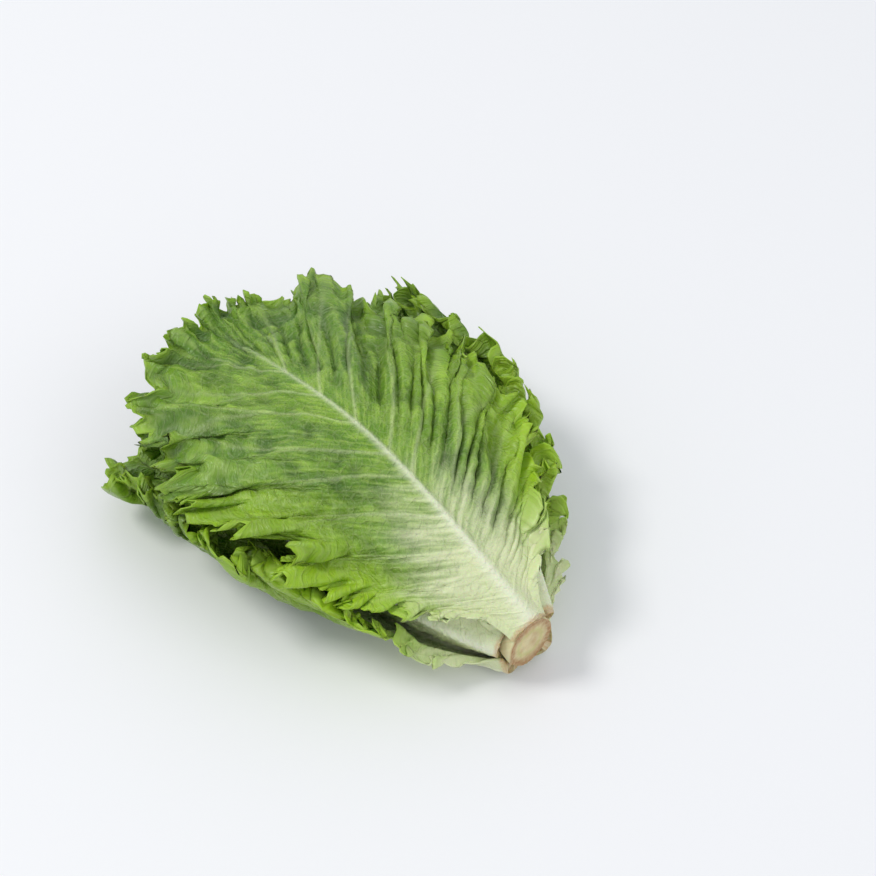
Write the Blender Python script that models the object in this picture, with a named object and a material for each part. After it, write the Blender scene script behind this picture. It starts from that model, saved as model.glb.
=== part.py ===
"""A head of leaf lettuce lying on its side, in metres, +Z up.

The head's axis runs along +Y, from the cut butt to the leaf tips. A short tapering stem carries
rings of leaves, and every leaf is a curved sheet with a thick rib that starts on the stem and opens
outwards. Leaves are numbered inwards, 0 being the outermost one, which lies on top. A leaf is laid
out flat first and is then wrapped round its own shell, a flattened tube that widens from the stem.
The shells nest inside each other, so the leaves never cross, and the floor presses them flat below.
"""

import math

import bmesh
import bpy
import numpy as np

# Stem, as if the butt's cut face stood at y = 0.
STEM_RADIUS = 0.0130
STEM_OVERHANG = 0.009  # how far the stem reaches past the innermost leaf's base
STEM_TIP_SHARE = 0.26  # radius at the growing tip, as a share of STEM_RADIUS
STEM_SIDES = 28
SEAT_GAP = 0.0006  # between a leaf's base and the stem that it grows from

# The head at its belly, where it is broadest. Heights run from the axis to a leaf's inner face.
HEAD_HALF_WIDTH = 0.072
CROWN_HEIGHT = 0.043
BELLY_DEPTH = 0.037
SPLAY = 0.12  # how much further the lower outer leaves spread sideways
FLARE = 0.20  # how far their upper margins bend away from the head, as a share of the shell's size
HEART_SHARE = 0.20  # how far the innermost shell opens, the outermost being 1
OPENING_LENGTH = 0.125  # from a leaf's base to where its shell is fully open
TIP_SAG = 0.32  # share of its height that a shell loses at the leaf tips
BUTT_AXIS_HEIGHT = 0.0205
BELLY_AXIS_HEIGHT = 0.0350
TIP_AXIS_HEIGHT = 0.0290
BELLY_AT = 0.115

# Leaves.
LEAF_COUNT = 13
RING_TURNS = (0.0, -145.0, 141.0, -70.0, 75.0)  # degrees round a ring, outermost leaf first
RING_SHIFT = 180.0  # degrees, so that a ring fills the gaps of the ring outside it
TOP_ANGLE = 94.0  # degrees, where the outermost leaf's rib lies, 90 being straight up
LONGEST_LEAF = 0.240
WIDEST_LEAF = 0.132
FORESHORTENING = 0.93  # axial length of a leaf that leans outwards, over its own length
HEART_LENGTH_SHARE = 0.56
HEART_WIDTH_SHARE = 0.34
FIRST_BASE = 0.001  # where the outermost leaf's base sits along the stem
BLADE_THICKNESS = 0.0010
RIB_THICKNESS = 0.0050  # of the outermost leaf, at its base
BASE_STEP = 0.7 * RIB_THICKNESS  # along the stem, from one leaf's base to the next one inwards
LAST_BASE = FIRST_BASE + (LEAF_COUNT - 1) * BASE_STEP
STEM_LENGTH = LAST_BASE + STEM_OVERHANG
HEART_RIB_SHARE = 0.32
RIB_HALF_WIDTH = 0.0066
RIB_END = 0.80  # share of the leaf's length where the rib has run out
VEIN_START = 0.84  # the last side vein leaves the rib here, as a share of the length
CURL_HEIGHT = 0.0012
CURL_WAVES = 9
LEAF_GAP = 0.0006  # between two leaves that the floor presses together
FLOOR_REACH = 0.032  # from a leaf's base to where the leaves under it hold it up
FLOOR_EASE = 0.0025  # how softly a leaf's back turns flat on the floor

# Half of a leaf's outline: share of its half width, share of its length.
OUTLINE = (
    (0.142, 0.0), (0.185, 0.07), (0.42, 0.17), (0.76, 0.29), (0.94, 0.43),
    (1.0, 0.59), (0.96, 0.75), (0.80, 0.88), (0.48, 0.97), (0.0, 1.0),
)

FAN_STEPS = 30  # cells round the margin of a leaf, from one corner of its base to the other
RIB_STEPS = 6  # cells from the rib out to the margin
WRAP_STEPS = 12

OUTER_GREEN = (0.16, 0.33, 0.05, 1.0)
HEART_GREEN = (0.52, 0.66, 0.20, 1.0)
STEM_CREAM = (0.74, 0.70, 0.48, 1.0)


def clear_scene():
    for obj in list(bpy.data.objects):
        bpy.data.objects.remove(obj)


def make_material(name, colour, roughness):
    material = bpy.data.materials.new(name)
    material.use_nodes = True
    shader = material.node_tree.nodes["Principled BSDF"]
    shader.inputs["Base Color"].default_value = colour
    shader.inputs["Roughness"].default_value = roughness
    shader.inputs["Metallic"].default_value = 0.0
    return material


def ease(x):
    """0 to 1 with level ends, for x from 0 to 1."""
    x = np.clip(x, 0.0, 1.0)
    return x * x * (3.0 - 2.0 * x)


def mix(low, high, share):
    return low + (high - low) * share


def stem_radius(y):
    """The stem tapers from the butt's cut face to the growing tip."""
    up = np.clip(y / STEM_LENGTH, 0.0, 1.0)
    return STEM_RADIUS * (1.0 - (1.0 - STEM_TIP_SHARE) * up**1.3)


def axis_height(y):
    """The axis climbs from the butt to the belly and sinks again towards the tips."""
    rise = mix(BUTT_AXIS_HEIGHT, BELLY_AXIS_HEIGHT, ease(y / BELLY_AT))
    return rise - (BELLY_AXIS_HEIGHT - TIP_AXIS_HEIGHT) * ease(y / BELLY_AT - 1.0)


def leaf_plan(inwards):
    """The sizes and the place of a leaf, 0 being the outermost."""
    depth = inwards / (LEAF_COUNT - 1)
    share = mix(1.0, HEART_SHARE, depth)
    ring, place = divmod(inwards, len(RING_TURNS))
    angle = math.radians(TOP_ANGLE + RING_TURNS[place] + ring * RING_SHIFT)
    base = mix(FIRST_BASE, LAST_BASE, depth)
    lies_low = ring == 0 and math.sin(angle) < -0.5
    return {
        "inwards": inwards,
        "share": share,
        "spread": 1.0 + (SPLAY if lies_low else 0.0),
        "flare": FLARE * math.copysign(1.0, -math.cos(angle)) if lies_low else 0.0,
        "angle": angle,
        "base": base,
        "base_radius": float(stem_radius(base)) + SEAT_GAP,
        "length": LONGEST_LEAF * mix(1.0, HEART_LENGTH_SHARE, depth**1.3),
        "half_width": 0.5 * WIDEST_LEAF * mix(1.0, HEART_WIDTH_SHARE, depth**1.2),
        "rib": RIB_THICKNESS * mix(1.0, HEART_RIB_SHARE, depth),
    }


def outline(share):
    """A smooth curve through OUTLINE, by Catmull-Rom, for share from 0 (base) to 1 (tip)."""
    points = np.array(OUTLINE)
    ends = np.vstack([2 * points[0] - points[1], points, points[-1] + [-0.48, -0.03]])
    at = share * (len(points) - 1)
    first = np.clip(np.floor(at).astype(int), 0, len(points) - 2)
    t = (at - first)[:, None]
    p0, p1, p2, p3 = (ends[first + k] for k in range(4))
    return 0.5 * (
        2 * p1
        + (p2 - p0) * t
        + (2 * p0 - 5 * p1 + 4 * p2 - p3) * t**2
        + (3 * p1 - p0 - 3 * p2 + p3) * t**3
    )


def flat_leaf(plan, fan, out):
    """Where a point lies on the flat leaf. fan runs from -1 at one corner of the base round the tip
    at 0 to 1 at the other corner, and out from 0 on the rib to 1 at the margin, along a side vein."""
    up = 1.0 - np.abs(fan)
    margin = outline(up)
    foot = VEIN_START * up**1.15
    across = margin[:, 0] * out * np.sign(fan)
    bend = 0.10 * margin[:, 0] * out * (1.0 - out) * (plan["half_width"] / plan["length"])
    along = foot + (margin[:, 1] - foot) * out - bend
    return across * plan["half_width"], along * plan["length"]


def half_sizes(plan, y):
    """The half width, and the heights above and below the axis, of a leaf's shell at y."""
    opening = np.clip((y - plan["base"]) / OPENING_LENGTH, 0.0, 1.0)
    sag = 1.0 - TIP_SAG * ease((y - BELLY_AT) / BELLY_AT)
    radius = plan["base_radius"]
    wide = plan["share"] * (1.0 - (1.0 - opening) ** 1.8)
    tall = plan["share"] * (1.0 - (1.0 - opening) ** 2.5)
    return (
        radius + wide * plan["spread"] * (HEAD_HALF_WIDTH - STEM_RADIUS),
        radius + tall * sag * (CROWN_HEIGHT - STEM_RADIUS),
        radius + tall * (BELLY_DEPTH - STEM_RADIUS),
    )


def walk_round(plan, y, distance):
    """The angle on the shell that lies distance away from the leaf's rib, measured on its surface."""
    width, above, below = half_sizes(plan, y)
    angle = np.full_like(y, plan["angle"])
    for _ in range(WRAP_STEPS):
        height = np.where(np.sin(angle) >= 0.0, above, below)
        slope = np.hypot(width * np.sin(angle), height * np.cos(angle))
        angle = angle - distance / WRAP_STEPS / slope
    return angle


def rest_on_floor(height, floor):
    """Heights that would sink below floor stay on it, with a soft turn between."""
    over = height - floor
    turn = (over + FLOOR_EASE) ** 2 / (4.0 * FLOOR_EASE)
    return floor + np.where(over > FLOOR_EASE, over, np.where(over < -FLOOR_EASE, 0.0, turn))


def place_on_shell(plan, across, along, wall):
    """Wraps flat points round the leaf's shell, and returns their places in the head."""
    y = plan["base"] + along * FORESHORTENING
    angle = walk_round(plan, y, across)
    width, above, below = half_sizes(plan, y)
    height = np.where(np.sin(angle) >= 0.0, above, below)
    aside = np.clip(across / plan["half_width"] * np.sign(plan["flare"]), 0.0, 1.0)
    flare = 1.0 + abs(plan["flare"]) * aside**2
    curl = CURL_HEIGHT * ease(along / BELLY_AT) * np.sin(CURL_WAVES * angle + y / 0.011)
    x = (width * flare + curl) * np.cos(angle)
    z = axis_height(y) + (height + curl) * np.sin(angle)
    below_it = max(plan["inwards"] - 1, 0) * (BLADE_THICKNESS + LEAF_GAP)
    floor = wall + below_it * ease(along / FLOOR_REACH)
    return np.column_stack([x, y, rest_on_floor(z, floor)])


def wall_thickness(plan, across, along):
    """The blade is thin, and the rib is a rounded ridge that fades towards the tip."""
    fade = 1.0 - ease(along / (plan["length"] * RIB_END))
    ridge = np.exp(-((across / (RIB_HALF_WIDTH * mix(0.35, 1.0, fade))) ** 2))
    return BLADE_THICKNESS + (plan["rib"] - BLADE_THICKNESS) * ridge * fade


def build_leaf(inwards, name, material, holder):
    plan = leaf_plan(inwards)
    shape = bmesh.new()
    layer = shape.verts.layers.deform.verify()
    bmesh.ops.create_grid(shape, x_segments=FAN_STEPS, y_segments=RIB_STEPS, size=1.0)
    grid = np.array([vert.co for vert in shape.verts])
    fan, out = grid[:, 0], 0.5 * (grid[:, 1] + 1.0)
    across, along = flat_leaf(plan, fan, out)
    walls = wall_thickness(plan, across, along)
    places = place_on_shell(plan, across, along, walls)
    for vert, place, wall in zip(shape.verts, places, walls):
        vert.co = place
        vert[layer][0] = wall / RIB_THICKNESS
    on_rib = [vert for vert, share in zip(shape.verts, out) if share < 1e-6]
    bmesh.ops.remove_doubles(shape, verts=on_rib, dist=1e-6)
    bmesh.ops.recalc_face_normals(shape, faces=shape.faces)
    outward = 0.0
    for face in shape.faces:
        middle = face.calc_center_median()
        axis = axis_height(middle.y)
        outward += face.calc_area() * (face.normal.x * middle.x + face.normal.z * (middle.z - axis))
    if outward < 0.0:
        bmesh.ops.reverse_faces(shape, faces=shape.faces)
    mesh = bpy.data.meshes.new(name)
    shape.to_mesh(mesh)
    shape.free()
    leaf = bpy.data.objects.new(name, mesh)
    bpy.context.collection.objects.link(leaf)
    leaf.parent = holder
    leaf.vertex_groups.new(name="wall")
    wall = leaf.modifiers.new("wall", "SOLIDIFY")
    wall.thickness = RIB_THICKNESS
    wall.vertex_group = "wall"
    wall.offset = 1.0
    mesh.materials.append(material)
    mesh.shade_smooth()
    return leaf


def build_stem(material, holder):
    """A tapering stub with a flat cut face at the butt and a rounded growing tip."""
    rows = 7
    shape = bmesh.new()
    profile = [shape.verts.new((0.0, 0.0, 0.0))]
    for step in range(rows):
        y = STEM_LENGTH * step / (rows - 1)
        profile.append(shape.verts.new((float(stem_radius(y)), y, 0.0)))
    profile.append(shape.verts.new((0.0, STEM_LENGTH * 1.04, 0.0)))
    for first, second in zip(profile, profile[1:]):
        shape.edges.new((first, second))
    bmesh.ops.spin(
        shape, geom=shape.verts[:] + shape.edges[:], cent=(0, 0, 0), axis=(0, 1, 0),
        angle=2 * math.pi, steps=STEM_SIDES, use_merge=True,
    )
    bmesh.ops.remove_doubles(shape, verts=shape.verts, dist=1e-6)
    bmesh.ops.recalc_face_normals(shape, faces=shape.faces)
    for vert in shape.verts:
        vert.co.z += axis_height(vert.co.y)
    mesh = bpy.data.meshes.new("stem")
    shape.to_mesh(mesh)
    shape.free()
    stem = bpy.data.objects.new("stem", mesh)
    bpy.context.collection.objects.link(stem)
    stem.parent = holder
    mesh.materials.append(material)
    mesh.shade_smooth()
    mesh.set_sharp_from_angle(angle=math.radians(40))
    return stem


def leaf_name(inwards):
    """Outer, middle and heart leaves, each ring counted from its outermost leaf."""
    ring, place = divmod(inwards, len(RING_TURNS))
    return f"{('outer', 'middle', 'heart')[ring]}_leaf_{place + 1}"


def stand_on_origin(holder):
    """Moves the head so that the origin is under its middle, at the height of the floor."""
    bpy.context.view_layer.update()
    graph = bpy.context.evaluated_depsgraph_get()
    corners = np.vstack(
        [np.array(leaf.evaluated_get(graph).bound_box) for leaf in holder.children]
    )
    low, high = corners.min(axis=0), corners.max(axis=0)
    holder.location = (-0.5 * (low[0] + high[0]), -0.5 * (low[1] + high[1]), -low[2])


def main():
    clear_scene()
    holder = bpy.data.objects.new("head", None)
    bpy.context.collection.objects.link(holder)
    for inwards in range(LEAF_COUNT):
        share = inwards / (LEAF_COUNT - 1)
        colour = [mix(a, b, share) for a, b in zip(OUTER_GREEN, HEART_GREEN)]
        name = leaf_name(inwards)
        build_leaf(inwards, name, make_material(name, colour, 0.5), holder)
    build_stem(make_material("stem", STEM_CREAM, 0.6), holder)
    stand_on_origin(holder)


main()
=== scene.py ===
"""The looks of a head of green leaf lettuce that lies on its side.

Each leaf starts as a grid: one direction runs round the leaf's margin, the other out from the rib.
The grid is laid out flat with lobes and teeth, wrapped round the leaf's own shell in the head, and
then crinkled, pleated and frilled as far as its neighbours leave room. It gets its thickness last.
"""

import math

import bpy
import numpy as np
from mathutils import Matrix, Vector


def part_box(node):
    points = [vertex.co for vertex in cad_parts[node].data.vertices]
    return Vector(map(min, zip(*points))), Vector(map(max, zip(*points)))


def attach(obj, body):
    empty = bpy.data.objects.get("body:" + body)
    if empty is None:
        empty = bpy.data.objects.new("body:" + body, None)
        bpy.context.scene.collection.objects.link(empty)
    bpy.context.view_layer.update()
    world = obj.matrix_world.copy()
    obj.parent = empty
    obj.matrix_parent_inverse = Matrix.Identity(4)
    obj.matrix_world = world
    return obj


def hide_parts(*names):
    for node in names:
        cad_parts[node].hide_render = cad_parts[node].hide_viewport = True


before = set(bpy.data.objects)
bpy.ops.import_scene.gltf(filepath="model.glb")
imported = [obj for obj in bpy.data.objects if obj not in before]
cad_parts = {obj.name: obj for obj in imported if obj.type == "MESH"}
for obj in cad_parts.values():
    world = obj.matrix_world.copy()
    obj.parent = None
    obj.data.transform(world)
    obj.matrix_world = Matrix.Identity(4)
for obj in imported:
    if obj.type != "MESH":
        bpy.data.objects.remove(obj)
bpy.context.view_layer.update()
bpy.ops.object.select_all(action="DESELECT")

MM = 0.001

# The head's layout, as the solids have it.
STEM_RADIUS = 0.0130
STEM_OVERHANG = 0.009  # how far the stem reaches past the innermost leaf's base
STEM_TIP_SHARE = 0.26
SEAT_GAP = 0.0006  # between the stem and a leaf's base
HEAD_HALF_WIDTH = 0.072
CROWN_HEIGHT = 0.043  # of the outermost shell above the axis
BELLY_DEPTH = 0.037  # and below it
SPLAY = 0.12  # how much further out the two low leaves spread
FLARE = 0.20  # how much further still their outer edges go
HEART_SHARE = 0.20  # the innermost shell's share of the outermost one
OPENING_LENGTH = 0.125  # from a leaf's base to where its shell is fully open
TIP_SAG = 0.32
BUTT_AXIS_HEIGHT = 0.0205
BELLY_AXIS_HEIGHT = 0.0350
TIP_AXIS_HEIGHT = 0.0290
BELLY_AT = 0.115
LEAF_COUNT = 13
RING_TURNS = (0.0, -145.0, 141.0, -70.0, 75.0)  # degrees round the axis, in order of growth
RING_SHIFT = 180.0
TOP_ANGLE = 94.0
LOW_SINE = -0.5  # an outer leaf whose angle has a lower sine lies on the surface
LONGEST_LEAF = 0.240
WIDEST_LEAF = 0.132
FORESHORTENING = 0.93  # how much of its length a curved leaf keeps along the axis
HEART_LENGTH_SHARE = 0.56
HEART_WIDTH_SHARE = 0.34
FIRST_BASE = 0.001
RIB_THICKNESS = 0.0050
BASE_STEP = 0.7 * RIB_THICKNESS
LAST_BASE = FIRST_BASE + (LEAF_COUNT - 1) * BASE_STEP
STEM_LENGTH = LAST_BASE + STEM_OVERHANG
HEART_RIB_SHARE = 0.32
SOLID_BLADE = 0.0010
LEAF_GAP = 0.0006
FLOOR_REACH = 0.032
FLOOR_EASE = 0.0025

# A leaf's outline from base to tip, as shares of its half width and of its length. It is a little
# fuller near the base than the solids' outline.
OUTLINE = (
    (0.148, 0.0), (0.235, 0.07), (0.54, 0.17), (0.83, 0.29), (0.96, 0.43),
    (1.0, 0.59), (0.96, 0.75), (0.80, 0.88), (0.48, 0.97), (0.0, 1.0),
)
LOW_LEAF_WIDTH = 0.98
OTHER_LEAF_WIDTH = 1.04
# The outer leaves' cut ends lie close behind the stem's, each at its own distance.
OUTER_BASES = (0.0012, 0.0026, 0.0040, 0.0052, 0.0068)

# How fine each ring's leaves are: cells round the margin, cells from rib to margin.
LEAF_CELLS = {"outer": (960, 47), "middle": (640, 34), "heart": (440, 26)}
ROW_CROWDING = 0.0765  # how much closer the rows of cells lie at the rib and at the margin
BLADE_THICKNESS = 0.45 * MM
RIB_HEIGHT = 5.2 * MM
VEIN_START = 0.84
VEIN_BEND = 1.85  # above 1, the side veins leave the rib at a slant
SIDE_VEINS = 11
VEIN_HEIGHT = 0.45 * MM

# Frills: wavelength along the margin, height, and how far out from the rib each size starts.
FRILLS = (
    (54 * MM, 5.0 * MM, 0.30),
    (23 * MM, 5.6 * MM, 0.66),
    (10.5 * MM, 5.6 * MM, 0.77),
    (5.4 * MM, 2.8 * MM, 0.86),
)
FRILL_LEAN = 0.20  # how far a frill's crests lean over along the margin, in wavelengths
FRILL_PUSH = (0.0, 0.30, 0.60, 0.70)  # how far frills push in and out, for their height
MARGIN_FLARE = 9.0 * MM
LOBE_LENGTH = 23 * MM
LOBE_DEPTH = 3.6 * MM
NOTCH_DEPTH = 3.4 * MM
SCALLOP_LENGTH = 8.5 * MM
SCALLOP_DEPTH = 2.4 * MM
TOOTH_LENGTH = 3.3 * MM
TOOTH_DEPTH = 1.6 * MM
LEAST_ROOM = 0.25 * MM
MOST_ROOM = 15 * MM

# The blade's relief between its rib and its frills.
PLEAT_LENGTH = 10.5 * MM
PLEAT_HEIGHT = 1.7 * MM
STREAK_HEIGHT = 0.75 * MM
SWELL_HEIGHT = 3.0 * MM
TOP_LEAF_CRINKLE = 1.25  # how much stronger the blisters are on the top leaf
STAND_OUT = 2.6 * MM  # how far a blade moves into free room outside it
FOLD_RISE = 7.0 * MM
FOLD_DIP = 4.5 * MM
# The top leaf's own bays and lobes: side of the rib, depth, place up the margin, breadth.
TOP_LEAF_MARGIN = (
    (-1, -10 * MM, 0.46, 0.030),
    (-1, 4 * MM, 0.56, 0.050),
    (1, 9 * MM, 0.40, 0.030),
    (1, -6 * MM, 0.27, 0.060),
)


def ease(x):
    """0 to 1 with level ends, for x from 0 to 1."""
    x = np.clip(x, 0.0, 1.0)
    return x * x * (3.0 - 2.0 * x)


def mix(low, high, share):
    """low at share 0, high at share 1."""
    return low + (high - low) * share


def drift(at, seed):
    """Smooth random values from -1 to 1 along a line, one new value for each unit of at."""
    values = np.random.RandomState(seed).uniform(-1.0, 1.0, 512)
    cell = np.floor(at).astype(int)
    return mix(values[cell % 512], values[(cell + 1) % 512], ease(at - cell))


def puffs(x, y, seed):
    """Smooth random bumps from -1 to 1 over a plane, about one to each unit square."""
    values = np.random.RandomState(seed).uniform(-1.0, 1.0, (128, 128))
    column, row = np.floor(x).astype(int), np.floor(y).astype(int)
    u, v = ease(x - column), ease(y - row)
    near = mix(values[row % 128, column % 128], values[row % 128, (column + 1) % 128], u)
    far = mix(
        values[(row + 1) % 128, column % 128], values[(row + 1) % 128, (column + 1) % 128], u
    )
    return mix(near, far, v)


def stem_radius(y):
    """The stem's radius at y, from its cut face to its narrow tip."""
    up = np.clip(y / STEM_LENGTH, 0.0, 1.0)
    return STEM_RADIUS * (1.0 - (1.0 - STEM_TIP_SHARE) * up**1.3)


def axis_height(y):
    """The height of the head's axis above the floor: low at the stem, higher at the belly."""
    rise = mix(BUTT_AXIS_HEIGHT, BELLY_AXIS_HEIGHT, ease(y / BELLY_AT))
    return rise - (BELLY_AXIS_HEIGHT - TIP_AXIS_HEIGHT) * ease(y / BELLY_AT - 1.0)


def leaf_plan(inwards):
    """The sizes and the place of a leaf, 0 being the outermost."""
    depth = inwards / (LEAF_COUNT - 1)
    ring, place = divmod(inwards, len(RING_TURNS))
    angle = math.radians(TOP_ANGLE + RING_TURNS[place] + ring * RING_SHIFT)
    base = mix(FIRST_BASE, LAST_BASE, depth)
    if ring == 0:
        base = OUTER_BASES[place]
    lies_low = ring == 0 and math.sin(angle) < LOW_SINE
    widened = LOW_LEAF_WIDTH if lies_low else OTHER_LEAF_WIDTH
    ring_name = ("outer", "middle", "heart")[ring]
    return {
        "inwards": inwards,
        "ring": ring_name,
        "name": f"{ring_name}_leaf_{place + 1}",
        "depth": depth,
        "share": mix(1.0, HEART_SHARE, depth),
        "spread": 1.0 + (SPLAY if lies_low else 0.0),
        "flare": FLARE * math.copysign(1.0, -math.cos(angle)) if lies_low else 0.0,
        "angle": angle,
        "base": base,
        "base_radius": float(stem_radius(base)) + SEAT_GAP,
        "length": LONGEST_LEAF * mix(1.0, HEART_LENGTH_SHARE, depth**1.3),
        "half_width": 0.5 * WIDEST_LEAF * mix(1.0, HEART_WIDTH_SHARE, depth**1.2) * widened,
        "rib": RIB_HEIGHT * mix(1.0, HEART_RIB_SHARE, depth),
    }


def outline(share):
    """A smooth curve through OUTLINE, by Catmull-Rom, for share from 0 (base) to 1 (tip)."""
    points = np.array(OUTLINE)
    ends = np.vstack([2 * points[0] - points[1], points, points[-1] + [-0.48, -0.03]])
    at = np.asarray(share) * (len(points) - 1)
    first = np.clip(np.floor(at).astype(int), 0, len(points) - 2)
    t = (at - first)[..., None]
    p0, p1, p2, p3 = (ends[first + k] for k in range(4))
    return 0.5 * (
        2 * p1
        + (p2 - p0) * t
        + (2 * p0 - 5 * p1 + 4 * p2 - p3) * t**2
        + (3 * p1 - p0 - 3 * p2 + p3) * t**3
    )


def half_sizes(plan, y):
    """The half width, and the heights above and below the axis, of a leaf's shell at y."""
    opening = np.clip((y - plan["base"]) / OPENING_LENGTH, 0.0, 1.0)
    sag = 1.0 - TIP_SAG * ease((y - BELLY_AT) / BELLY_AT)
    radius = plan["base_radius"]
    wide = plan["share"] * (1.0 - (1.0 - opening) ** 1.8)
    tall = plan["share"] * (1.0 - (1.0 - opening) ** 2.5)
    return (
        radius + wide * plan["spread"] * (HEAD_HALF_WIDTH - STEM_RADIUS),
        radius + tall * sag * (CROWN_HEIGHT - STEM_RADIUS),
        radius + tall * (BELLY_DEPTH - STEM_RADIUS),
    )


def walk_round(plan, y, distance):
    """The angle on the shell that lies distance away from the leaf's rib, on its surface."""
    width, above, below = half_sizes(plan, y)
    angle = np.full_like(y, plan["angle"])
    steps = 14
    for _ in range(steps):
        height = np.where(np.sin(angle) >= 0.0, above, below)
        angle = angle - distance / steps / np.hypot(width * np.sin(angle), height * np.cos(angle))
    return angle


def on_shell(plan, y, angle, across):
    """Places on a leaf's shell, before the floor presses it."""
    width, above, below = half_sizes(plan, y)
    height = np.where(np.sin(angle) >= 0.0, above, below)
    aside = np.clip(across / plan["half_width"] * np.sign(plan["flare"]), 0.0, 1.2)
    flare = 1.0 + abs(plan["flare"]) * aside**2
    x = width * flare * np.cos(angle)
    return np.stack([x, y, axis_height(y) + height * np.sin(angle)], axis=-1)


def rest_on_floor(height, floor, softness=FLOOR_EASE):
    """Heights that would sink below floor stay on it, with a soft turn between."""
    over = height - floor
    turn = (over + softness) ** 2 / (4.0 * softness)
    return floor + np.where(over > softness, over, np.where(over < -softness, 0.0, turn))


def unit(vectors):
    """The same directions, each of length 1."""
    return vectors / np.maximum(np.linalg.norm(vectors, axis=-1, keepdims=True), 1e-12)


def shell_normal(plan, y, angle, across):
    """The outward direction of a leaf's shell."""
    step = 1e-4
    round_it = on_shell(plan, y, angle + step, across) - on_shell(plan, y, angle - step, across)
    along_it = on_shell(plan, y + step, angle, across) - on_shell(plan, y - step, angle, across)
    return unit(np.cross(along_it, round_it))


PLANS = [leaf_plan(inwards) for inwards in range(LEAF_COUNT)]
MAP_Y = np.linspace(0.0, 0.236, 119)
MAP_ANGLE = np.linspace(0.0, 2.0 * math.pi, 241)
FAR = 60 * MM  # the room where no neighbour lies
OUTWARD_SHARE = 0.40  # a leaf's share of the gap to the leaf outside it
INWARD_SHARE = 0.50  # and of the gap to the leaf inside it
DEPTHS = (0.12, 0.45, 0.72, 0.65, 0.85)  # how deep a green each of a ring's leaves has


def round_distance(plan, y, angle):
    """How far along the shell each angle lies from the leaf's rib."""
    turned = np.mod(angle - plan["angle"] + math.pi, 2.0 * math.pi) - math.pi
    width, above, below = half_sizes(plan, y)
    distance = np.zeros_like(y)
    steps = 24
    for step in range(steps):
        part = plan["angle"] + turned * (step + 0.5) / steps
        height = np.where(np.sin(part) >= 0.0, above, below)
        distance += np.hypot(width * np.sin(part), height * np.cos(part)) * turned / steps
    return -distance


def rib_ridge(plan, across, height_share):
    """The rib's height above the blade."""
    left = np.clip(1.0 - height_share / 0.88, 0.0, 1.0)
    half = (1.3 * MM + 5.4 * MM * left**4) * mix(0.7, 1.0, 1.0 - plan["depth"])
    return plan["rib"] * np.exp(-((across / half) ** 2)) * left**1.7


def smooth(values, times):
    """Averages a map with its neighbours; it joins up round the angle."""
    for _ in range(times):
        values = (values + np.roll(values, 1, axis=1) + np.roll(values, -1, axis=1)) / 3.0
        padded = np.pad(values, ((1, 1), (0, 0)), mode="edge")
        values = (padded[:-2] + padded[1:-1] + padded[2:]) / 3.0
    return values


def stack_up():
    """For each leaf, maps of the lift that takes it over the ribs inside it, and of its room."""
    y, angle = np.meshgrid(MAP_Y, MAP_ANGLE[:-1], indexing="ij")
    margin = outline(np.linspace(0.0, 1.0, 200))
    places, normals, covers, walls = [], [], [], []
    for plan in PLANS:
        across = round_distance(plan, y, angle)
        along = (MAP_Y - plan["base"]) / FORESHORTENING / plan["length"]
        reach = np.interp(along, np.maximum.accumulate(margin[:, 1]), margin[:, 0], 0.0, 0.0)
        reach = np.where((along > -0.02) & (along < 1.02), reach, -1.0)
        spare = reach[:, None] * plan["half_width"] - np.abs(across)
        places.append(on_shell(plan, y, angle, across))
        normals.append(shell_normal(plan, y, angle, across))
        covers.append(ease(spare / (6 * MM) + 1.0))
        walls.append(BLADE_THICKNESS + rib_ridge(plan, across, np.clip(along, 0, 1)[:, None]))
    lifts = [None] * LEAF_COUNT
    for own in reversed(range(LEAF_COUNT)):
        lift = np.zeros_like(y)
        for inner in range(own + 1, LEAF_COUNT):
            gap = np.sum((places[own] - places[inner]) * normals[own], axis=-1) - walls[inner]
            lift = np.maximum(lift, covers[inner] * (0.5 * MM - gap))
        lifts[own] = smooth(lift, 3)
        places[own] = places[own] + normals[own] * lifts[own][..., None]
    maps = []
    for own in range(LEAF_COUNT):
        rooms = []
        outside, inside = range(own), range(own + 1, LEAF_COUNT)
        for others, part in ((outside, OUTWARD_SHARE), (inside, INWARD_SHARE)):
            room = np.full_like(y, FAR)
            for other in others:
                upper, lower = min(own, other), max(own, other)
                gap = np.sum((places[upper] - places[lower]) * normals[own], axis=-1)
                free = (1.0 - covers[other]) * FAR
                room = np.minimum(room, part * (gap - walls[lower]) + free)
            rooms.append(np.maximum(room, LEAST_ROOM))
        maps.append([np.column_stack([m, m[:, :1]]) for m in (lifts[own], *rooms)])
    return maps


def read_map(values, y, angle):
    """Bilinear reading of a map over MAP_Y and MAP_ANGLE."""
    row = np.clip(y / MAP_Y[-1], 0.0, 1.0) * (len(MAP_Y) - 1)
    column = np.mod(angle, 2.0 * math.pi) / (2.0 * math.pi) * (len(MAP_ANGLE) - 1)
    r0 = np.minimum(row.astype(int), len(MAP_Y) - 2)
    c0 = np.minimum(column.astype(int), len(MAP_ANGLE) - 2)
    u, v = row - r0, column - c0
    near = mix(values[r0, c0], values[r0, c0 + 1], v)
    return mix(near, mix(values[r0 + 1, c0], values[r0 + 1, c0 + 1], v), u)


def notches(round_it, seed):
    """0 to 1: sharp bays in the margin, at uneven distances and of uneven depths."""
    chance = np.random.RandomState(seed)
    found = np.zeros_like(round_it)
    at = 20 * MM
    while at < 0.60:
        width = chance.uniform(1.6, 3.6) * MM
        found = np.maximum(found, chance.uniform(0.2, 1.0) * np.exp(-np.abs(round_it - at) / width))
        at += chance.uniform(14, 34) * MM
    return found


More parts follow.
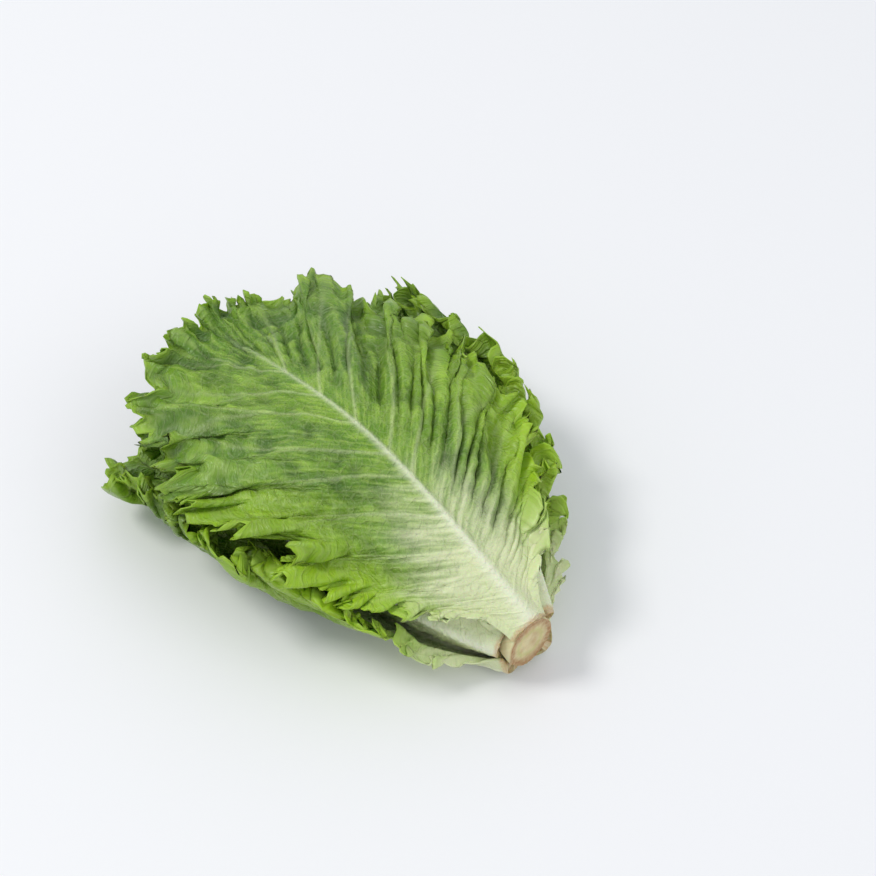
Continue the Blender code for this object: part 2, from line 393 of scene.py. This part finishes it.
def flat_leaf(plan, fan, out, round_it):
    """The flat leaf: places across and along it, with the margin's lobes and teeth."""
    up = 1.0 - np.abs(fan)
    margin = outline(up)
    seed = 100 + plan["inwards"] * 17
    foot = VEIN_START * up**VEIN_BEND
    size = mix(0.7, 1.0, 1.0 - plan["depth"])
    lobe = 0.6 * drift(round_it / LOBE_LENGTH * 1.6, seed) + 0.7 * np.sin(
        2 * math.pi * round_it / LOBE_LENGTH + 2.5 * drift(round_it / (60 * MM), seed + 1)
    )
    wander = 1.8 * drift(round_it / (9 * MM), seed + 2)
    tooth = 1.0 - np.abs(np.sin(math.pi * round_it / TOOTH_LENGTH + wander))
    tooth = tooth * (0.65 + 0.5 * drift(round_it / (7 * MM), seed + 3))
    scallop = np.abs(np.sin(math.pi * round_it / SCALLOP_LENGTH + wander)) ** 0.5
    bay = notches(round_it, seed + 4)
    longer = ease((up - 0.03) / 0.14) * size * (
        LOBE_DEPTH * lobe * ease((out - 0.45) / 0.55)
        - NOTCH_DEPTH * bay * ease((out - 0.80) / 0.20)
        + SCALLOP_DEPTH * scallop * ease((out - 0.80) / 0.20)
        + TOOTH_DEPTH * tooth * ease((out - 0.92) / 0.08)
    )
    if plan["inwards"] == 0:
        own = sum(
            depth * (np.sign(fan) == side) * np.exp(-(((up - at) / breadth) ** 2))
            for side, depth, at, breadth in TOP_LEAF_MARGIN
        )
        longer = longer + ease((out - 0.35) / 0.65) * own
    across = margin[..., 0] * plan["half_width"] * out
    rise = (margin[..., 1] - foot) * plan["length"]
    bend = 0.24 * across * (1.0 - out) * ease(up / 0.2)
    along = foot * plan["length"] + rise * out - bend
    vein = np.hypot(margin[..., 0] * plan["half_width"], rise) + 1e-9
    across = across + longer * margin[..., 0] * plan["half_width"] / vein
    along = along + longer * rise / vein
    return across * np.sign(fan), np.maximum(along, 0.0), vein


def frill(plan, out, round_it, vein, side_weight):
    """How the margin's frills stand out, lean along it and push past it, and their envelope."""
    seed = 900 + plan["inwards"] * 29
    lift = np.zeros_like(out)
    lean = np.zeros_like(out)
    push = np.zeros_like(out)
    envelope = np.zeros_like(out)
    size = mix(0.55, 1.0, 1.0 - plan["depth"])
    for level, (wave, height, start) in enumerate(FRILLS):
        grown = ease((out - start) / (1.0 - start)) ** 1.15
        wander = drift(round_it / (2.2 * wave), seed + level)
        strength = 0.70 + 0.30 * drift(round_it / (3.1 * wave), seed + 10 + level)
        twist = puffs(round_it / (1.6 * wave), out * vein / (1.3 * wave), seed + 20 + level)
        phase = 2 * math.pi * round_it / wave + 2.4 * wander + 2.3 * twist + level * 1.3
        grown = grown * side_weight[level] * np.minimum(1.0, vein / (1.5 * wave)) ** 1.5
        part = height * size * strength * grown
        lift += part * np.sin(phase)
        push += FRILL_PUSH[level] * part * np.cos(phase + 0.6)
        lean -= FRILL_LEAN * wave * size * strength * np.minimum(grown, 1.0) * np.sin(2 * phase)
        envelope += part
    return lift, lean, push, envelope


def leaf_shape(plan, fan, out):
    """Every point of a leaf's inner face, its wall's thickness, and the masks its skin reads."""
    up = 1.0 - np.abs(fan)
    seed = 40 + plan["inwards"] * 13
    edge = outline(up[0]) * [plan["half_width"], plan["length"]]
    edge[:, 0] *= np.sign(fan[0])
    steps = np.hypot(*np.diff(edge, axis=0).T)
    round_it = np.broadcast_to(np.concatenate([[0.0], np.cumsum(steps)]), fan.shape)
    across, along, vein = flat_leaf(plan, fan, out, round_it)
    ragged = 0.7 * MM * puffs(across / (3 * MM) + 50, across * 0 + 3.3, seed + 8)
    y = plan["base"] + along * FORESHORTENING + ragged * (1.0 - ease(along / (6 * MM)))
    angle = walk_round(plan, y, across)
    place = on_shell(plan, y, angle, across)
    normal = shell_normal(plan, y, angle, across)

    height_share = along / plan["length"]
    blade = ease((out - 0.04) / 0.25) * ease(height_share / 0.22)
    tip = ease((height_share - 0.55) / 0.35)
    side_weight = (
        mix(0.55, 1.0, tip) * ease(up / 0.25),
        mix(0.85, 0.80, tip) * ease((up - 0.08) / 0.18),
        mix(1.65, 0.85, tip) * ease((up - 0.08) / 0.16),
        mix(1.60, 1.0, tip) * ease((up - 0.08) / 0.14),
    )
    lift, lean, push, envelope = frill(plan, out, round_it, vein, side_weight)

    pleat_wander = 1.6 * drift(round_it / (16 * MM), seed)
    pleat = np.abs(np.sin(math.pi * round_it / PLEAT_LENGTH + pleat_wander))
    pleat_strength = 0.45 + 0.45 * drift(round_it / (38 * MM), seed + 1)
    if plan["inwards"] == 0:
        pleat_strength = mix(0.15, 2.0, ease(fan * 4.0 + 0.5)) * mix(1.0, 0.6, tip)
    pleats = PLEAT_HEIGHT * (pleat - 0.6) * pleat_strength * ease((out - 0.12) / 0.3)
    pleats = pleats * (1.0 - 0.75 * ease((out - 0.62) / 0.38))
    run = out * vein
    streak = puffs(round_it / (5.2 * MM), run / (19 * MM), seed + 9)
    streak = STREAK_HEIGHT * (0.3 - np.abs(streak))
    crinkle = (
        2.1 * MM * (0.3 - np.abs(puffs(across / (9 * MM), along / (11 * MM), seed + 2)))
        + 1.3 * MM * (0.3 - np.abs(puffs(across / (5 * MM) + 9, along / (6 * MM), seed + 3)))
        + 0.40 * MM * puffs(across / (2.4 * MM) + 5, along / (2.8 * MM), seed + 4)
    ) * mix(0.75, 1.0, out) * (TOP_LEAF_CRINKLE if plan["inwards"] == 0 else 1.0)
    swell = SWELL_HEIGHT * puffs(across / (40 * MM) + 3, along / (46 * MM) + 7, seed + 5)
    relief = pleats + crinkle + streak
    lift = lift + blade * (relief + swell * ease(height_share / 0.4))
    if plan["inwards"] == 0:
        fold = (up - 0.735 + 0.02 * np.sin(out * 5.0)) * 9.0
        reach = ease((out - 0.08) / 0.3) * (fan > 0)
        lift = lift + reach * (FOLD_RISE * np.exp(-((fold - 0.34) ** 2) * 14)
                               - FOLD_DIP * np.exp(-((fold + 0.10) ** 2) * 22))

    over, outwards, inwards = (read_map(values, y, angle) for values in STACK[plan["inwards"]])
    place = place + normal * over[..., None]
    down = np.maximum(-normal[..., 2], 0.0)
    to_floor = place[..., 2] / np.maximum(down, 0.2)
    outwards = np.where(down > 0.2, np.minimum(outwards, to_floor), outwards)
    outwards = np.clip(outwards, LEAST_ROOM, MOST_ROOM)
    turned_up = np.clip((out - 0.64) / 0.36, 0.0, 1.0) ** 1.7
    flare = MARGIN_FLARE * turned_up * ease(up / 0.2) * outwards / MOST_ROOM
    inwards = inwards + flare
    bias = np.clip((outwards - inwards) / (outwards + inwards), -1.0, 1.0)
    lift = lift + 0.75 * envelope * bias + STAND_OUT * blade * np.maximum(bias, 0.0)
    above = outwards - flare
    lift = np.where(lift > 0, above * np.tanh(lift / above), inwards * np.tanh(lift / inwards))
    lift = lift + flare
    hug = np.minimum(1.0, (outwards + inwards) / (10 * MM))

    beside = unit(np.gradient(place, axis=1) + 1e-12)
    beyond = unit(np.gradient(place, axis=0) + 1e-12)
    place = place + normal * lift[..., None] + beside * (lean * hug)[..., None]
    place = place + beyond * (push * hug)[..., None]
    ridge = rib_ridge(plan, across, height_share)
    side_vein = side_veins(up, out, seed)
    wall = (
        BLADE_THICKNESS * mix(1.0, 2.2, 1.0 - ease(height_share / 0.22))
        + ridge
        + VEIN_HEIGHT * side_vein * (1.0 - out) * ease(out / 0.06)
    )
    leaves_below = np.maximum(plan["inwards"] - 1, 0)
    floor = leaves_below * (SOLID_BLADE + LEAF_GAP) * ease(along / FLOOR_REACH)
    place[..., 2] = rest_on_floor(place[..., 2], wall + floor + 0.1 * MM, 1.2 * MM)

    wedge = plan["half_width"] * mix(0.62, 0.05, ease(height_share / 0.60))
    streaks = puffs(round_it / (4 * MM), run / (26 * MM), seed + 11)
    low = ease(1.0 - height_share / mix(0.50, 0.75, plan["depth"]) + 0.10 * streaks)
    line = 1.0 * MM + 2.3 * MM * np.clip(1.0 - height_share / 0.8, 0, 1) ** 2
    line_strength = np.clip(1.15 - height_share / 0.82, 0.0, 1.0) ** 0.7
    green = DEPTHS[plan["inwards"] % len(DEPTHS)] * (1.0 - plan["depth"])
    masks = {
        "pale": np.clip(low * np.exp(-((across / (wedge + 6 * MM)) ** 2)) * (1.0 + 0.2 * streaks)
                        + 0.30 * (1.0 - ease(height_share / 0.16)), 0.0, 1.0),
        "rib": np.exp(-((across / line) ** 2)) * line_strength,
        "young": np.clip(
            ease((out - 0.35) / 0.6) * ease(1.25 - height_share / 0.62)
            + 0.8 * plan["depth"] + 0.20 * drift(round_it / (30 * MM), seed + 6), 0.0, 1.0,
        ),
        "deep": np.clip(green * ease(height_share / 0.5) + 0.25 * puffs(
            across / (25 * MM) + 30, along / (30 * MM), seed + 12), 0, 1),
        "vein": np.clip(side_vein * mix(1.0, 0.25, out), 0.0, 1.0),
        # The margin's thin rim, made lighter and yellower: partly the young margin's own colour,
        # partly a painted highlight along the rim.
        "edge": ease((out - 0.94) / 0.06) * ease(up / 0.05),
        "cut": 1.0 - ease((along - 0.4 * MM) / (2.2 * MM)),
        # Painted shade: the blade's colour darkens in the hollows of its relief.
        "valley_shade": np.clip(0.5 - relief / (2.4 * MM), 0.0, 1.0) * blade,
    }
    fan_place = np.stack([round_it, run], axis=-1)
    return place, wall, np.stack([across, along], axis=-1), fan_place, masks


def side_veins(up, out, seed):
    """1 on a side vein, fading to 0 beside it. Each vein forks once on its way out."""
    jitter = np.random.RandomState(seed + 70).uniform(-0.2, 0.2, 16)
    found = np.zeros_like(out)
    for number in range(SIDE_VEINS):
        at = (number + 0.7 + jitter[number]) / (SIDE_VEINS + 0.5)
        at = at + 0.010 * np.sin(4.0 * out + 2.0 * number + seed)
        fork = 0.030 * ease((out - 0.30) / 0.70)
        for side in (-1.0, 0.25):
            apart = (up - at - side * fork) / (0.0042 * mix(1.25, 0.55, out))
            found = np.maximum(found, np.exp(-(apart**2)))
    return found


def merge_close(mesh, chosen, distance):
    """Merges those of the active object's chosen vertices that lie in one place."""
    bpy.ops.object.mode_set(mode="EDIT")
    bpy.ops.mesh.select_mode(type="VERT")
    bpy.ops.mesh.select_all(action="DESELECT")
    bpy.ops.object.mode_set(mode="OBJECT")
    mesh.vertices.foreach_set("select", chosen)
    bpy.ops.object.mode_set(mode="EDIT")
    bpy.ops.mesh.remove_doubles(threshold=distance)
    bpy.ops.object.mode_set(mode="OBJECT")


def make_leaf(plan, material):
    """One leaf, from a flat grid to its finished wall."""
    cells = LEAF_CELLS[plan["ring"]]
    bpy.ops.mesh.primitive_grid_add(x_subdivisions=cells[0], y_subdivisions=cells[1], size=2.0)
    leaf = bpy.context.object
    leaf.name = plan["name"] + "_blade"
    mesh = leaf.data
    mesh.name = leaf.name
    grid = np.empty(len(mesh.vertices) * 3)
    mesh.vertices.foreach_get("co", grid)
    grid = grid.reshape(-1, 3)
    columns = len(np.unique(np.round(grid[:, 0], 6)))
    fan = grid[:, 0].reshape(-1, columns)
    step = 0.5 * (grid[:, 1].reshape(-1, columns) + 1.0)
    out = step - ROW_CROWDING * np.sin(2.0 * math.pi * step)
    place, wall, flat_place, fan_place, masks = leaf_shape(plan, fan, out)
    place[0] = 0.5 * (place[0] + place[0, ::-1])
    mesh.vertices.foreach_set("co", (place + HEAD_PLACE).reshape(-1))

    corner = np.empty(len(mesh.loops), int)
    mesh.loops.foreach_get("vertex_index", corner)
    mesh.uv_layers[0].name = "flat"
    mesh.uv_layers.new(name="fan")
    for name, at in (("flat", flat_place), ("fan", fan_place)):
        at = at.reshape(-1, 2)[corner] * 10.0 + 3.7 * plan["inwards"]
        mesh.uv_layers[name].uv.foreach_set("vector", at.reshape(-1))
    for name, mask in masks.items():
        mesh.attributes.new(name, "FLOAT", "POINT").data.foreach_set("value", mask.reshape(-1))
    thick = leaf.vertex_groups.new(name="wall")
    most = float(wall.max())
    for index, share in enumerate((wall.reshape(-1) / most).tolist()):
        thick.add([index], share, "REPLACE")

    chosen = np.zeros(len(mesh.vertices), bool)
    chosen[:columns] = True
    merge_close(mesh, chosen, 1e-6)
    turned_out = 0.0
    for polygon in list(mesh.polygons)[:: max(1, len(mesh.polygons) // 400)]:
        centre, normal = polygon.center, polygon.normal
        axis = float(axis_height(centre.y - HEAD_PLACE[1]))
        turned_out += normal.x * (centre.x - HEAD_PLACE[0]) + normal.z * (centre.z - axis)
    if turned_out < 0.0:
        mesh.flip_normals()
    shell = leaf.modifiers.new("wall", "SOLIDIFY")
    shell.thickness = most
    shell.offset = 1.0
    shell.vertex_group = "wall"
    bpy.ops.object.modifier_apply(modifier="wall")
    mesh.shade_smooth()
    mesh.materials.append(material)
    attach(leaf, "root")
    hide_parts(plan["name"])
    leaf.select_set(False)
    return leaf


def make_stem(material):
    """The short cut stem, wound from a grid: its cut face, its rim, its side and its tip."""
    around, down = ((240, 150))
    bpy.ops.mesh.primitive_grid_add(x_subdivisions=around, y_subdivisions=down, size=2.0)
    stem = bpy.context.object
    stem.name = "cut_stem"
    mesh = stem.data
    mesh.name = stem.name
    grid = np.empty(len(mesh.vertices) * 3)
    mesh.vertices.foreach_get("co", grid)
    grid = grid.reshape(-1, 3)
    turn = math.pi * grid[:, 0]
    turn = np.where(turn > math.pi - 1e-6, -math.pi, turn)
    run = 0.5 * (grid[:, 1] + 1.0)
    face = 0.42  # the share of the grid that makes the cut face
    on_face = np.clip(run / face, 0.0, 1.0)
    up = np.clip((run - face) / (1.0 - face), 0.0, 1.0)
    radius = np.where(run < face, (STEM_RADIUS - 0.3 * MM) * on_face,
                      stem_radius(up * STEM_LENGTH) - 0.3 * MM * (1.0 - ease(up / 0.03)))
    radius = radius * (1.0 - ease((up - 0.86) / 0.14) ** 2)
    east, north = radius * np.cos(turn), radius * np.sin(turn)
    rim = ease((on_face - 0.45) / 0.55) * (1.0 - ease(up / 0.12))
    lumps = 0.9 * MM * puffs(east / (6 * MM) + 20, north / (6 * MM) + 20, 31) * rim
    dish = 0.8 * MM * (1.0 - on_face**2) * (run < face)
    saw = 0.22 * MM * puffs(east / (1.1 * MM) + 60, north / (4 * MM) + 60, 32) * (up < 0.01)
    wobble = 1.01 + 0.06 * puffs(np.cos(turn) * 1.7 + 9, np.sin(turn) * 1.7 + 9, 33) * rim
    y = np.where(run < face, 0.0, up * (STEM_LENGTH + 1.5 * MM)) + dish + saw + 0.7 * lumps
    place = np.column_stack([east * wobble, y, axis_height(y) + north * wobble])
    mesh.vertices.foreach_set("co", (place + HEAD_PLACE).reshape(-1))
    corner = np.empty(len(mesh.loops), int)
    mesh.loops.foreach_get("vertex_index", corner)
    mesh.uv_layers[0].name = "flat"
    flat = np.column_stack([east, north + y])[corner] * 10.0 + 2.0
    mesh.uv_layers[0].uv.foreach_set("vector", flat.reshape(-1))
    masks = {
        "face": 1.0 - ease(up / 0.02),
        "rim": ease((on_face - 0.62) / 0.3) * (1.0 - ease(up / 0.10)),
        "ring": np.exp(-(((on_face - 0.56) / 0.10) ** 2)) * (run < face),
    }
    for name, mask in masks.items():
        mesh.attributes.new(name, "FLOAT", "POINT").data.foreach_set("value", mask)
    merge_close(mesh, np.ones(len(mesh.vertices), bool), 2e-6)
    if mesh.polygons[len(mesh.polygons) // 8].normal.y > 0.0:
        mesh.flip_normals()
    mesh.shade_smooth()
    mesh.materials.append(material)
    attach(stem, "root")
    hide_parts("stem")
    stem.select_set(False)
    return stem


def colour(red, green, blue):
    """A colour given as on a screen, from 0 to 255, for a shader's socket."""
    parts = []
    for value in (red, green, blue):
        value /= 255.0
        parts.append(value / 12.92 if value <= 0.04045 else ((value + 0.055) / 1.055) ** 2.4)
    return (*parts, 1.0)


class Nodes:
    """Short ways to add nodes to one node tree."""

    def __init__(self, tree):
        self.tree = tree

    def add(self, kind, **settings):
        node = self.tree.nodes.new(kind)
        for name, value in settings.items():
            setattr(node, name, value)
        return node

    def link(self, value, socket):
        """Feeds socket from another socket, or sets it to a value."""
        if isinstance(value, bpy.types.NodeSocket):
            self.tree.links.new(value, socket)
        else:
            socket.default_value = value

    def math(self, operation, first, second=0.0):
        node = self.add("ShaderNodeMath", operation=operation)
        self.link(first, node.inputs[0])
        self.link(second, node.inputs[1])
        return node.outputs[0]

    def blend(self, share, first, second):
        node = self.add("ShaderNodeMix", data_type="RGBA")
        self.link(share, node.inputs["Factor"])
        self.link(first, node.inputs["A"])
        self.link(second, node.inputs["B"])
        return node.outputs["Result"]

    def span(self, value, low, high, to_low=0.0, to_high=1.0):
        node = self.add("ShaderNodeMapRange", interpolation_type="SMOOTHSTEP")
        for number, item in enumerate((value, low, high, to_low, to_high)):
            self.link(item, node.inputs[number])
        return node.outputs[0]

    def noise(self, vector, scale, detail=2.0, output="Fac"):
        node = self.add("ShaderNodeTexNoise")
        self.link(vector, node.inputs["Vector"])
        node.inputs["Scale"].default_value = scale
        node.inputs["Detail"].default_value = detail
        return node.outputs[output]

    def mask(self, name):
        return self.add("ShaderNodeAttribute", attribute_name=name).outputs["Fac"]


def leaf_skin_group():
    """Leaf skin: blade colours, painted shade in the blade's hollows, the net of small veins, pale
    ribs, young margins with a painted highlight along their rim, and cut ends.
    """
    tree = bpy.data.node_groups.new("leaf skin", "ShaderNodeTree")
    inputs = (
        ("Flat", "NodeSocketVector"), ("Fan", "NodeSocketVector"), ("Deep", "NodeSocketColor"),
        ("Blade", "NodeSocketColor"), ("Light", "NodeSocketColor"), ("Young", "NodeSocketColor"),
        ("Pale", "NodeSocketColor"), ("Rib", "NodeSocketColor"), ("Cut", "NodeSocketColor"),
        ("Depth", "NodeSocketFloat"), ("Youth", "NodeSocketFloat"),
        ("Paleness", "NodeSocketFloat"), ("Rib Line", "NodeSocketFloat"),
        ("Vein", "NodeSocketFloat"), ("Edge", "NodeSocketFloat"), ("Cut End", "NodeSocketFloat"),
        ("Valley Shade", "NodeSocketFloat"),
    )
    for name, kind in inputs:
        tree.interface.new_socket(name, in_out="INPUT", socket_type=kind)
    for name, kind in (("Colour", "NodeSocketColor"), ("Roughness", "NodeSocketFloat"),
                       ("Height", "NodeSocketFloat")):
        tree.interface.new_socket(name, in_out="OUTPUT", socket_type=kind)
    nodes = Nodes(tree)
    given = nodes.add("NodeGroupInput").outputs
    result = nodes.add("NodeGroupOutput").inputs
    flat = given["Flat"]
    bent = nodes.add("ShaderNodeVectorMath", operation="MULTIPLY_ADD")
    nodes.link(nodes.noise(flat, 14.0, 2.0, "Color"), bent.inputs[0])
    bent.inputs[1].default_value = (0.03, 0.03, 0.03)
    nodes.link(flat, bent.inputs[2])
    net = []
    for scale in (24.0, 58.0):
        cells = nodes.add("ShaderNodeTexVoronoi", feature="DISTANCE_TO_EDGE")
        nodes.link(bent.outputs[0], cells.inputs["Vector"])
        cells.inputs["Scale"].default_value = scale
        net.append(cells.outputs["Distance"])
    coarse = nodes.span(net[0], 0.0, 0.16, 1.0, 0.0)
    fine = nodes.span(net[1], 0.0, 0.20, 1.0, 0.0)
    long = nodes.add("ShaderNodeVectorMath", operation="MULTIPLY")
    nodes.link(given["Fan"], long.inputs[0])
    long.inputs[1].default_value = (1.0, 0.2, 1.0)
    streaks = nodes.noise(long.outputs[0], 36.0, 3.0)
    patches = nodes.noise(flat, 5.0, 3.0)
    speckle = nodes.noise(flat, 60.0, 3.0)

    blade = nodes.blend(nodes.span(streaks, 0.40, 0.68), given["Blade"], given["Light"])
    blade = nodes.blend(nodes.span(patches, 0.40, 0.70, 0.0, 0.45), blade, given["Light"])
    # Painted shade: the relief's hollows are darkened towards the deep green, together with the
    # real deeper green of some leaves.
    deep_and_valley_shade = nodes.math("MAXIMUM", nodes.math("MULTIPLY", given["Valley Shade"], 0.72), given["Depth"])
    blade = nodes.blend(deep_and_valley_shade, blade, given["Deep"])
    blade = nodes.blend(nodes.math("MULTIPLY", given["Youth"], 0.80), blade, given["Young"])
    veins = nodes.math("ADD", nodes.math("MULTIPLY", coarse, 0.07),
                       nodes.math("MULTIPLY", fine, 0.03))
    veins = nodes.math("MAXIMUM", veins, nodes.math("MULTIPLY", given["Vein"], 0.36))
    blade = nodes.blend(veins, blade, given["Pale"])
    # Lighter, yellower rim along the margin: partly its own young colour, partly a painted
    # highlight.
    blade = nodes.blend(nodes.math("MULTIPLY", given["Edge"], 0.45), blade, given["Young"])
    uneven = nodes.math("MULTIPLY", given["Paleness"], nodes.span(streaks, 0.3, 0.7, 0.80, 1.15))
    blade = nodes.blend(nodes.span(uneven, 0.02, 0.90, 0.0, 0.95), blade, given["Pale"])
    ribbed = nodes.math("MULTIPLY", given["Rib Line"], nodes.span(speckle, 0.2, 0.8, 0.80, 1.0))
    blade = nodes.blend(ribbed, blade, given["Rib"])
    brown = nodes.span(nodes.noise(flat, 110.0, 3.0), 0.35, 0.7, 0.55, 1.0)
    cut = nodes.math("MULTIPLY", given["Cut End"], brown)
    nodes.link(nodes.blend(cut, blade, given["Cut"]), result["Colour"])

    rough = nodes.span(speckle, 0.3, 0.7, 0.30, 0.44)
    nodes.link(nodes.math("ADD", rough, nodes.math("MULTIPLY", given["Cut End"], 0.25)),
               result["Roughness"])
    height = nodes.math("ADD", nodes.math("MULTIPLY", coarse, 0.30),
                        nodes.math("MULTIPLY", fine, 0.12))
    height = nodes.math("ADD", height, nodes.math("MULTIPLY", streaks, 1.2))
    height = nodes.math("MULTIPLY", height,
                        nodes.math("SUBTRACT", 1.0, nodes.math("MULTIPLY", uneven, 0.8)))
    lumps = nodes.noise(flat, 34.0, 3.0)
    height = nodes.math("ADD", height, nodes.math("MULTIPLY", lumps, 1.5))
    height = nodes.math("ADD", height, nodes.math("MULTIPLY", speckle, 0.35))
    nodes.link(height, result["Height"])
    return tree


def leaf_material(name, skin, colours):
    """A leaf's skin, with its deep, blade, light, young, pale, rib and cut-end colours; the deep
    colour also paints shade into the blade's hollows.
    """
    material = bpy.data.materials.new(name)
    material.use_nodes = True
    nodes = Nodes(material.node_tree)
    shader = material.node_tree.nodes["Principled BSDF"]
    group = nodes.add("ShaderNodeGroup", node_tree=skin)
    nodes.link(nodes.add("ShaderNodeUVMap", uv_map="flat").outputs[0], group.inputs["Flat"])
    nodes.link(nodes.add("ShaderNodeUVMap", uv_map="fan").outputs[0], group.inputs["Fan"])
    for socket, value in zip(("Deep", "Blade", "Light", "Young", "Pale", "Rib", "Cut"), colours):
        group.inputs[socket].default_value = colour(*value)
    for socket, mask in (("Depth", "deep"), ("Youth", "young"), ("Paleness", "pale"),
                         ("Rib Line", "rib"), ("Vein", "vein"), ("Edge", "edge"),
                         ("Cut End", "cut"), ("Valley Shade", "valley_shade")):
        nodes.link(nodes.mask(mask), group.inputs[socket])
    bump = nodes.add("ShaderNodeBump")
    bump.inputs["Strength"].default_value = 1.0
    bump.inputs["Distance"].default_value = 0.9 * MM
    nodes.link(group.outputs["Height"], bump.inputs["Height"])
    nodes.link(group.outputs["Colour"], shader.inputs["Base Color"])
    nodes.link(group.outputs["Roughness"], shader.inputs["Roughness"])
    nodes.link(bump.outputs["Normal"], shader.inputs["Normal"])
    shader.inputs["Subsurface Weight"].default_value = 0.18
    shader.inputs["Subsurface Radius"].default_value = (0.5, 1.0, 0.2)
    shader.inputs["Subsurface Scale"].default_value = 1.2 * MM
    shader.inputs["IOR"].default_value = 1.42
    return material


def stem_material(name):
    """Stem flesh: a pale side, and a cut face with a faint ring and a browned rim."""
    material = bpy.data.materials.new(name)
    material.use_nodes = True
    nodes = Nodes(material.node_tree)
    shader = material.node_tree.nodes["Principled BSDF"]
    flat = nodes.add("ShaderNodeUVMap", uv_map="flat").outputs[0]
    grain = nodes.noise(flat, 55.0, 4.0)
    stain = nodes.span(nodes.noise(flat, 16.0, 4.0), 0.35, 0.68)
    flesh = nodes.blend(grain, colour(214, 204, 150), colour(232, 226, 184))
    face = nodes.blend(nodes.math("MULTIPLY", stain, 0.65), colour(222, 208, 160),
                       colour(190, 158, 112))
    face = nodes.blend(nodes.math("MULTIPLY", nodes.mask("ring"), 0.55), face,
                       colour(196, 196, 120))
    face = nodes.blend(nodes.math("MULTIPLY", nodes.mask("rim"),
                                  nodes.span(grain, 0.3, 0.65, 0.45, 0.95)),
                       face, colour(164, 120, 76))
    skin_colour = nodes.blend(nodes.mask("face"), flesh, face)
    nodes.link(skin_colour, shader.inputs["Base Color"])
    nodes.link(nodes.span(grain, 0.3, 0.7, 0.48, 0.66), shader.inputs["Roughness"])
    bump = nodes.add("ShaderNodeBump")
    bump.inputs["Strength"].default_value = 0.8
    bump.inputs["Distance"].default_value = 0.5 * MM
    nodes.link(grain, bump.inputs["Height"])
    nodes.link(bump.outputs["Normal"], shader.inputs["Normal"])
    shader.inputs["Subsurface Weight"].default_value = 0.15
    shader.inputs["Subsurface Scale"].default_value = 2.0 * MM
    return material


# The solids' place: their stem stands with its cut face at y = 0 and its middle at x = 0.
stem_low, stem_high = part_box("stem")
HEAD_PLACE = np.array([
    0.5 * (stem_low.x + stem_high.x),
    stem_low.y,
    stem_low.z - (BUTT_AXIS_HEIGHT - STEM_RADIUS),
])

STACK = stack_up()
skin = leaf_skin_group()
LEAF_COLOURS = {
    "outer": ((44, 82, 16), (100, 144, 32), (150, 186, 68), (164, 202, 38), (221, 228, 182),
              (234, 238, 208), (204, 170, 124)),
    "middle": ((66, 106, 24), (112, 156, 40), (150, 186, 66), (166, 202, 52), (206, 218, 146),
               (218, 226, 178), (190, 164, 116)),
    "heart": ((110, 150, 48), (150, 186, 72), (176, 204, 92), (186, 210, 96), (212, 222, 154),
              (226, 230, 190), (196, 174, 126)),
}
leaf_materials = {
    ring: leaf_material(ring + " leaf skin", skin, colours)
    for ring, colours in LEAF_COLOURS.items()
}
for plan in PLANS:
    make_leaf(plan, leaf_materials[plan["ring"]])
make_stem(stem_material("stem flesh"))

# Floor, light and camera.
bpy.ops.mesh.primitive_plane_add(size=30.0, location=(0, 0, 0))
floor = bpy.context.object
floor.name = "floor"
floor_material = bpy.data.materials.new("pale floor")
floor_material.use_nodes = True
floor_shader = floor_material.node_tree.nodes["Principled BSDF"]
floor_shader.inputs["Base Color"].default_value = colour(240, 240, 242)
floor_shader.inputs["Roughness"].default_value = 0.6
floor.data.materials.append(floor_material)

world = bpy.data.worlds.new("studio")
bpy.context.scene.world = world
world.use_nodes = True
background = world.node_tree.nodes["Background"]
background.inputs["Color"].default_value = (0.93, 0.96, 1.0, 1.0)
background.inputs["Strength"].default_value = 0.70


def area_light(name, place, aim, size, power, tint):
    """A soft round lamp at place that faces aim."""
    data = bpy.data.lights.new(name, "AREA")
    data.shape = "DISK"
    data.size = size
    data.energy = power
    data.color = tint
    lamp = bpy.data.objects.new(name, data)
    bpy.context.scene.collection.objects.link(lamp)
    lamp.location = place
    lamp.rotation_euler = (Vector(aim) - Vector(place)).to_track_quat("-Z", "Y").to_euler()


area_light("window", (-1.3, 1.3, 2.6), (0, 0, 0.03), 1.0, 40.0, (1.0, 0.99, 0.96))
area_light("fill", (0.6, -1.6, 1.6), (0, 0, 0.03), 1.6, 7.0, (0.97, 0.98, 1.0))

CAMERA_TURN = math.radians(-42.0)
CAMERA_TILT = math.radians(48.0)
CAMERA_DISTANCE = 0.93
CAMERA_LENS = 80.0
aim = Vector((0.0389, -0.0041, 0.0390))
camera_data = bpy.data.cameras.new("camera")
camera_data.lens = CAMERA_LENS
camera = bpy.data.objects.new("camera", camera_data)
bpy.context.scene.collection.objects.link(camera)
towards = Vector((
    math.sin(CAMERA_TURN) * math.cos(CAMERA_TILT),
    -math.cos(CAMERA_TURN) * math.cos(CAMERA_TILT),
    math.sin(CAMERA_TILT),
))
camera.location = aim + towards * CAMERA_DISTANCE
camera.rotation_euler = (-towards).to_track_quat("-Z", "Y").to_euler()
bpy.context.scene.camera = camera
bpy.context.scene.view_settings.view_transform = "Standard"
